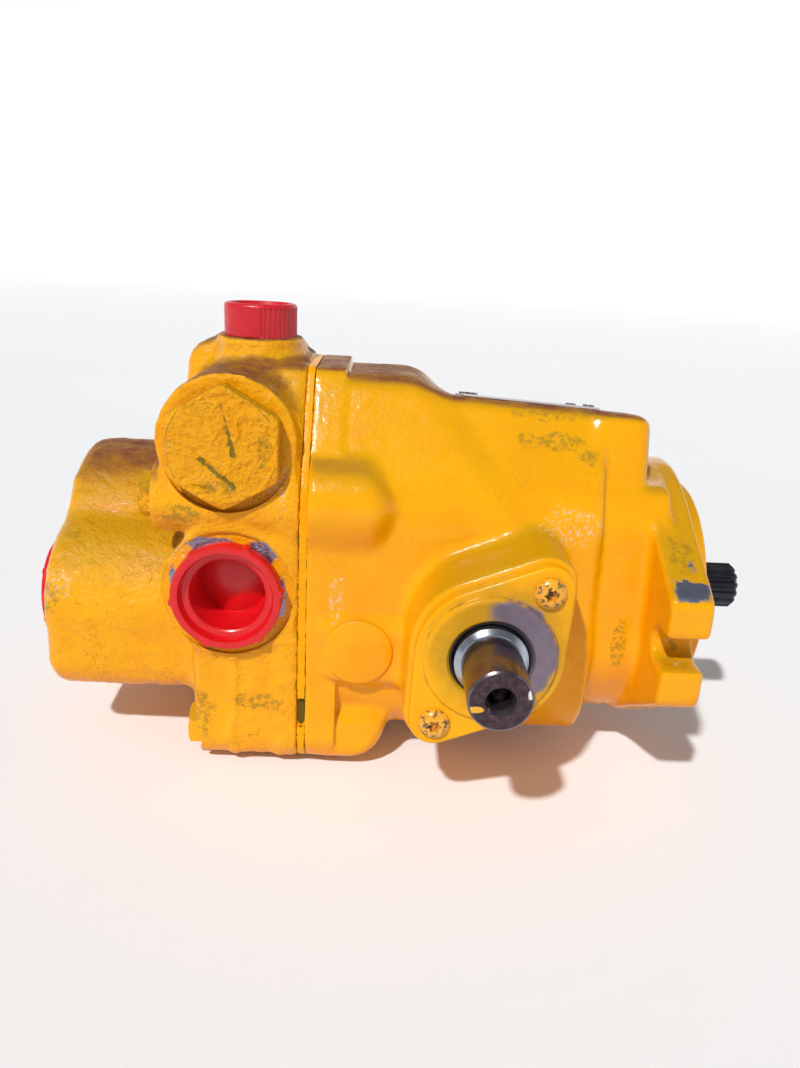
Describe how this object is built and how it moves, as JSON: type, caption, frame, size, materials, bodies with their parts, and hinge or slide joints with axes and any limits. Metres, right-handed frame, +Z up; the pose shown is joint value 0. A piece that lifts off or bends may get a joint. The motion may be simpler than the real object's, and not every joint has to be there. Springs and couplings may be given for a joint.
{
  "type": "axial piston pump",
  "caption": "Variable axial piston pump with a splined input shaft, a two-bolt flange and a side control shaft that tilts its swashplate.",
  "frame": {"origin": "centre of the mounting flange's front face, on the input shaft's axis", "axes": "+X out along the input shaft, -Y towards the control shaft, +Z up"},
  "size_m": [0.331, 0.2206, 0.201],
  "materials": {
    "yellow_paint": "glossy enamel over rough cast iron",
    "gasket": "painted-over edge",
    "black_rubber": "satin",
    "red_plastic": "satin",
    "plate_metal": "satin",
    "dark_steel": "oiled, blued",
    "bright_steel": "ground",
    "bronze": "machined"
  },
  "bodies": {
    "case": {"housing": "yellow_paint", "end_cover": "yellow_paint", "cover_gasket": "gasket", "cover_bolts": "yellow_paint", "trunnion_cover": "yellow_paint", "blind_trunnion_cover": "yellow_paint", "trunnion_screws": "yellow_paint", "trunnion_orings": "black_rubber", "trunnion_seal": "black_rubber", "trunnion_bearings": "bright_steel", "shaft_seal": "black_rubber", "seal_ring": "dark_steel", "front_bearing_outer": "bright_steel", "rear_bearing_outer": "bright_steel", "valve_plate": "bronze", "charge_plate": "bronze", "relief_plugs": "yellow_paint", "port_plugs": "red_plastic", "top_cap": "red_plastic", "core_plug": "yellow_paint", "data_plate": "plate_metal", "drive_screws": "plate_metal", "relief_spring_near": "bright_steel", "relief_spring_far": "bright_steel"},
    "rotating_group": {"input_shaft": "dark_steel", "front_bearing_inner": "bright_steel", "rear_bearing_inner": "bright_steel", "cylinder_block": "bright_steel", "block_spring": "bright_steel", "spring_washers": "bright_steel", "hold_down_pins": "bright_steel", "ball_guide": "bright_steel", "gerotor_inner": "bright_steel"},
    "front_cage": {"front_bearing_balls": "bright_steel"},
    "rear_cage": {"rear_bearing_rollers": "bright_steel"},
    "gerotor_ring": {"gerotor_outer": "bright_steel"},
    "swash": {"swashplate": "bright_steel", "control_shaft": "dark_steel", "trunnion_stub": "bright_steel"},
    "retainer": {"slipper_retainer": "bronze"},
    "poppet_near": {"relief_poppet_near": "bright_steel"},
    "poppet_far": {"relief_poppet_far": "bright_steel"},
    "slipper_1_body": {"slipper_1": "bronze"},
    "piston_1_body": {"piston_1": "bright_steel"},
    "slipper_2_body": {"slipper_2": "bronze"},
    "piston_2_body": {"piston_2": "bright_steel"},
    "slipper_3_body": {"slipper_3": "bronze"},
    "piston_3_body": {"piston_3": "bright_steel"},
    "slipper_4_body": {"slipper_4": "bronze"},
    "piston_4_body": {"piston_4": "bright_steel"},
    "slipper_5_body": {"slipper_5": "bronze"},
    "piston_5_body": {"piston_5": "bright_steel"},
    "slipper_6_body": {"slipper_6": "bronze"},
    "piston_6_body": {"piston_6": "bright_steel"},
    "slipper_7_body": {"slipper_7": "bronze"},
    "piston_7_body": {"piston_7": "bright_steel"},
    "slipper_8_body": {"slipper_8": "bronze"},
    "piston_8_body": {"piston_8": "bright_steel"},
    "slipper_9_body": {"slipper_9": "bronze"},
    "piston_9_body": {"piston_9": "bright_steel"}
  },
  "joints": [
    {"name": "shaft_spin", "type": "hinge", "parent": "case", "child": "rotating_group", "pos_m": [0, 0, 0], "axis": [1, 0, 0], "continuous": true},
    {"name": "swash_tilt", "type": "hinge", "parent": "case", "child": "swash", "pos_m": [-0.0894, 0, 0], "axis": [0, 1, 0], "range_deg": [-17, 17]},
    {"name": "front_cage_spin", "type": "hinge", "parent": "case", "child": "front_cage", "pos_m": [-0.0175, 0, 0], "axis": [1, 0, 0], "continuous": true},
    {"name": "rear_cage_spin", "type": "hinge", "parent": "case", "child": "rear_cage", "pos_m": [-0.1785, 0, 0], "axis": [1, 0, 0], "continuous": true},
    {"name": "gerotor_ring_spin", "type": "hinge", "parent": "case", "child": "gerotor_ring", "pos_m": [-0.197, 0.00141, -0.00141], "axis": [1, 0, 0], "continuous": true},
    {"name": "retainer_spin", "type": "hinge", "parent": "swash", "child": "retainer", "pos_m": [-0.0894, 0, 0], "axis": [1, 0, 0], "continuous": true},
    {"name": "poppet_near_slide", "type": "slide", "parent": "case", "child": "poppet_near", "axis": [0, -1, 0], "range_m": [0, 0.003], "deforming": ["relief_spring_near"]},
    {"name": "poppet_far_slide", "type": "slide", "parent": "case", "child": "poppet_far", "axis": [0, 1, 0], "range_m": [0, 0.003], "deforming": ["relief_spring_far"]},
    {"name": "slipper_1_spin", "type": "hinge", "parent": "retainer", "child": "slipper_1_body", "pos_m": [-0.0894, 0.03109, 0.00833], "axis": [1, 0, 0], "continuous": true},
    {"name": "piston_1_ball", "type": "hinge", "parent": "slipper_1_body", "child": "piston_1_body", "pos_m": [-0.0894, 0.03109, 0.00833], "axis": [0, 1, 0], "range_deg": [-17, 17]},
    {"name": "slipper_2_spin", "type": "hinge", "parent": "retainer", "child": "slipper_2_body", "pos_m": [-0.0894, 0.01846, 0.02637], "axis": [1, 0, 0], "continuous": true},
    {"name": "piston_2_ball", "type": "hinge", "parent": "slipper_2_body", "child": "piston_2_body", "pos_m": [-0.0894, 0.01846, 0.02637], "axis": [0, 1, 0], "range_deg": [-17, 17]},
    {"name": "slipper_3_spin", "type": "hinge", "parent": "retainer", "child": "slipper_3_body", "pos_m": [-0.0894, -0.00281, 0.03207], "axis": [1, 0, 0], "continuous": true},
    {"name": "piston_3_ball", "type": "hinge", "parent": "slipper_3_body", "child": "piston_3_body", "pos_m": [-0.0894, -0.00281, 0.03207], "axis": [0, 1, 0], "range_deg": [-17, 17]},
    {"name": "slipper_4_spin", "type": "hinge", "parent": "retainer", "child": "slipper_4_body", "pos_m": [-0.0894, -0.02276, 0.02276], "axis": [1, 0, 0], "continuous": true},
    {"name": "piston_4_ball", "type": "hinge", "parent": "slipper_4_body", "child": "piston_4_body", "pos_m": [-0.0894, -0.02276, 0.02276], "axis": [0, 1, 0], "range_deg": [-17, 17]},
    {"name": "slipper_5_spin", "type": "hinge", "parent": "retainer", "child": "slipper_5_body", "pos_m": [-0.0894, -0.03207, 0.00281], "axis": [1, 0, 0], "continuous": true},
    {"name": "piston_5_ball", "type": "hinge", "parent": "slipper_5_body", "child": "piston_5_body", "pos_m": [-0.0894, -0.03207, 0.00281], "axis": [0, 1, 0], "range_deg": [-17, 17]},
    {"name": "slipper_6_spin", "type": "hinge", "parent": "retainer", "child": "slipper_6_body", "pos_m": [-0.0894, -0.02637, -0.01846], "axis": [1, 0, 0], "continuous": true},
    {"name": "piston_6_ball", "type": "hinge", "parent": "slipper_6_body", "child": "piston_6_body", "pos_m": [-0.0894, -0.02637, -0.01846], "axis": [0, 1, 0], "range_deg": [-17, 17]},
    {"name": "slipper_7_spin", "type": "hinge", "parent": "retainer", "child": "slipper_7_body", "pos_m": [-0.0894, -0.00833, -0.03109], "axis": [1, 0, 0], "continuous": true},
    {"name": "piston_7_ball", "type": "hinge", "parent": "slipper_7_body", "child": "piston_7_body", "pos_m": [-0.0894, -0.00833, -0.03109], "axis": [0, 1, 0], "range_deg": [-17, 17]},
    {"name": "slipper_8_spin", "type": "hinge", "parent": "retainer", "child": "slipper_8_body", "pos_m": [-0.0894, 0.0136, -0.02917], "axis": [1, 0, 0], "continuous": true},
    {"name": "piston_8_ball", "type": "hinge", "parent": "slipper_8_body", "child": "piston_8_body", "pos_m": [-0.0894, 0.0136, -0.02917], "axis": [0, 1, 0], "range_deg": [-17, 17]},
    {"name": "slipper_9_spin", "type": "hinge", "parent": "retainer", "child": "slipper_9_body", "pos_m": [-0.0894, 0.02917, -0.0136], "axis": [1, 0, 0], "continuous": true},
    {"name": "piston_9_ball", "type": "hinge", "parent": "slipper_9_body", "child": "piston_9_body", "pos_m": [-0.0894, 0.02917, -0.0136], "axis": [0, 1, 0], "range_deg": [-17, 17]}
  ],
  "couplings": [
    {"joint": "front_cage_spin", "follows": "shaft_spin", "ratio": 0.39626},
    {"joint": "rear_cage_spin", "follows": "shaft_spin", "ratio": 0.41033},
    {"joint": "gerotor_ring_spin", "follows": "shaft_spin", "ratio": 0.85714},
    {"joint": "retainer_spin", "follows": "shaft_spin", "ratio": 1},
    {"joint": "slipper_1_spin", "follows": "shaft_spin", "ratio": -1},
    {"joint": "piston_1_ball", "follows": "swash_tilt", "ratio": -1},
    {"joint": "slipper_2_spin", "follows": "shaft_spin", "ratio": -1},
    {"joint": "piston_2_ball", "follows": "swash_tilt", "ratio": -1},
    {"joint": "slipper_3_spin", "follows": "shaft_spin", "ratio": -1},
    {"joint": "piston_3_ball", "follows": "swash_tilt", "ratio": -1},
    {"joint": "slipper_4_spin", "follows": "shaft_spin", "ratio": -1},
    {"joint": "piston_4_ball", "follows": "swash_tilt", "ratio": -1},
    {"joint": "slipper_5_spin", "follows": "shaft_spin", "ratio": -1},
    {"joint": "piston_5_ball", "follows": "swash_tilt", "ratio": -1},
    {"joint": "slipper_6_spin", "follows": "shaft_spin", "ratio": -1},
    {"joint": "piston_6_ball", "follows": "swash_tilt", "ratio": -1},
    {"joint": "slipper_7_spin", "follows": "shaft_spin", "ratio": -1},
    {"joint": "piston_7_ball", "follows": "swash_tilt", "ratio": -1},
    {"joint": "slipper_8_spin", "follows": "shaft_spin", "ratio": -1},
    {"joint": "piston_8_ball", "follows": "swash_tilt", "ratio": -1},
    {"joint": "slipper_9_spin", "follows": "shaft_spin", "ratio": -1},
    {"joint": "piston_9_ball", "follows": "swash_tilt", "ratio": -1}
  ]
}
